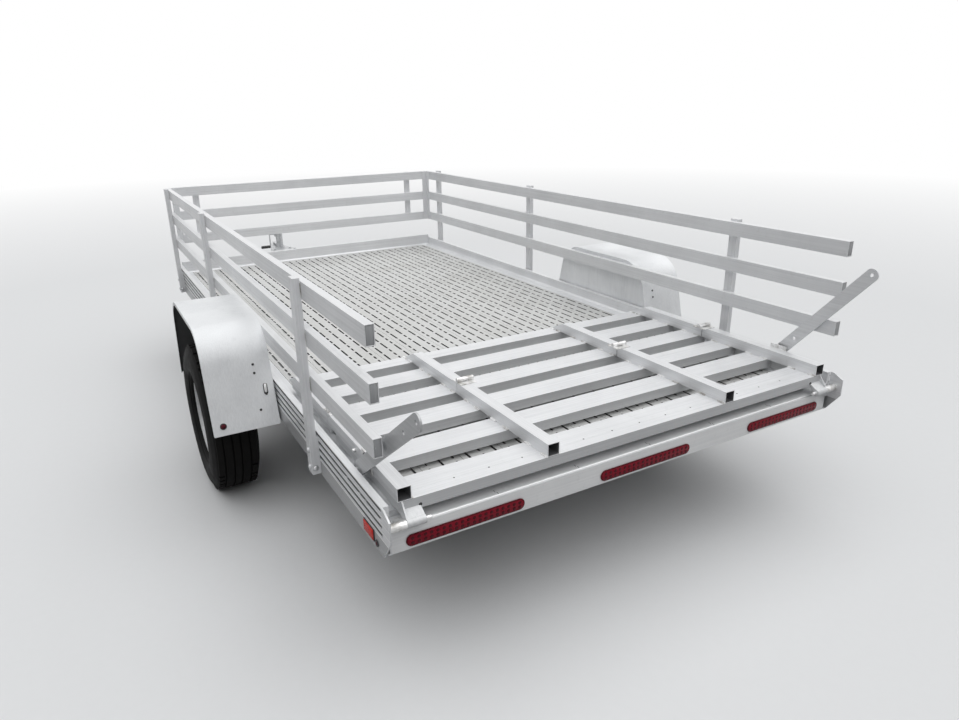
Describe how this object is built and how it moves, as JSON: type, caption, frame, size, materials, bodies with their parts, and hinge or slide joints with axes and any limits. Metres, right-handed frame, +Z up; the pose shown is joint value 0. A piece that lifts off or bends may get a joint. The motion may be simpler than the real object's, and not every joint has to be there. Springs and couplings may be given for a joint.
{
  "type": "utility trailer",
  "caption": "Open single-axle aluminium utility trailer with a slotted plank deck, rail sides, fenders, an A-frame tongue with a jack and a bi-fold rear ramp lying on the deck.",
  "frame": {"origin": "middle of the trailer's outer box, on the ground", "axes": "+X forward along the direction of travel, +Y to the trailer's left, +Z up"},
  "size_m": [5.1996, 2.505, 1.131],
  "materials": {
    "aluminium": "mill finish, lightly weathered",
    "deck_aluminium": "extruded planks, scuffed",
    "zinc_steel": "zinc plated",
    "wheel_silver": "silver paint",
    "hub_black": "black paint",
    "tyre_rubber": "worn rubber",
    "red_lens": "moulded lens"
  },
  "bodies": {
    "chassis": {"side_frame_left": "aluminium", "side_frame_right": "aluminium", "front_board": "aluminium", "rear_bumper": "aluminium", "deck_planks": "deck_aluminium", "deck_edges": "aluminium", "crossmembers": "aluminium", "side_rails_left": "aluminium", "side_rails_right": "aluminium", "front_rails": "aluminium", "side_posts_left": "aluminium", "side_posts_right": "aluminium", "front_uprights": "aluminium", "tongue_beams": "aluminium", "coupler": "zinc_steel", "coupler_latch": "zinc_steel", "jack_housing": "zinc_steel", "jack_crank": "zinc_steel", "axle_beam": "zinc_steel", "torsion_arms": "zinc_steel", "fender_left": "aluminium", "fender_right": "aluminium", "tail_lights": "red_lens", "side_reflectors": "red_lens", "fender_lamps": "red_lens", "frame_hinges": "zinc_steel", "arm_bolts": "zinc_steel"},
    "wheel_left": {"hub_left": "hub_black", "rim_left": "wheel_silver", "tyre_left": "tyre_rubber"},
    "wheel_right": {"hub_right": "hub_black", "rim_right": "wheel_silver", "tyre_right": "tyre_rubber"},
    "ramp_lower": {"ramp_lower_tubes": "aluminium", "ramp_lower_slats": "aluminium", "ramp_lower_plates": "aluminium", "ramp_lower_knuckles": "zinc_steel", "ramp_latches": "zinc_steel"},
    "ramp_upper": {"ramp_upper_tubes": "aluminium", "ramp_upper_slats": "aluminium", "ramp_upper_plates": "aluminium", "ramp_upper_knuckles": "zinc_steel"},
    "arm_left": {"support_arm_left": "aluminium"},
    "arm_right": {"support_arm_right": "aluminium"},
    "jack_leg": {"jack_leg": "zinc_steel", "jack_foot": "zinc_steel"}
  },
  "joints": [
    {"name": "wheel_left_spin", "type": "hinge", "parent": "chassis", "child": "wheel_left", "pos_m": [-0.85518, 1.15, 0.332], "axis": [0, 1, 0], "continuous": true},
    {"name": "wheel_right_spin", "type": "hinge", "parent": "chassis", "child": "wheel_right", "pos_m": [-0.85518, -1.15, 0.332], "axis": [0, 1, 0], "continuous": true},
    {"name": "ramp_hinge", "type": "hinge", "parent": "chassis", "child": "ramp_lower", "pos_m": [-2.39919, 0, 0.533], "axis": [0, -1, 0], "range_deg": [0, 205]},
    {"name": "ramp_fold", "type": "hinge", "parent": "ramp_lower", "child": "ramp_upper", "pos_m": [-1.76919, 0, 0.645], "axis": [0, -1, 0], "range_deg": [0, 180]},
    {"name": "arm_left_pivot", "type": "hinge", "parent": "chassis", "child": "arm_left", "pos_m": [-2.11018, 0.947, 0.58], "axis": [0, 1, 0], "range_deg": [-36.5, 143.5]},
    {"name": "arm_right_pivot", "type": "hinge", "parent": "chassis", "child": "arm_right", "pos_m": [-2.11018, -0.947, 0.58], "axis": [0, 1, 0], "range_deg": [-49, 131]},
    {"name": "jack_slide", "type": "slide", "parent": "chassis", "child": "jack_leg", "axis": [0, 0, 1], "range_m": [0, 0.24]}
  ]
}
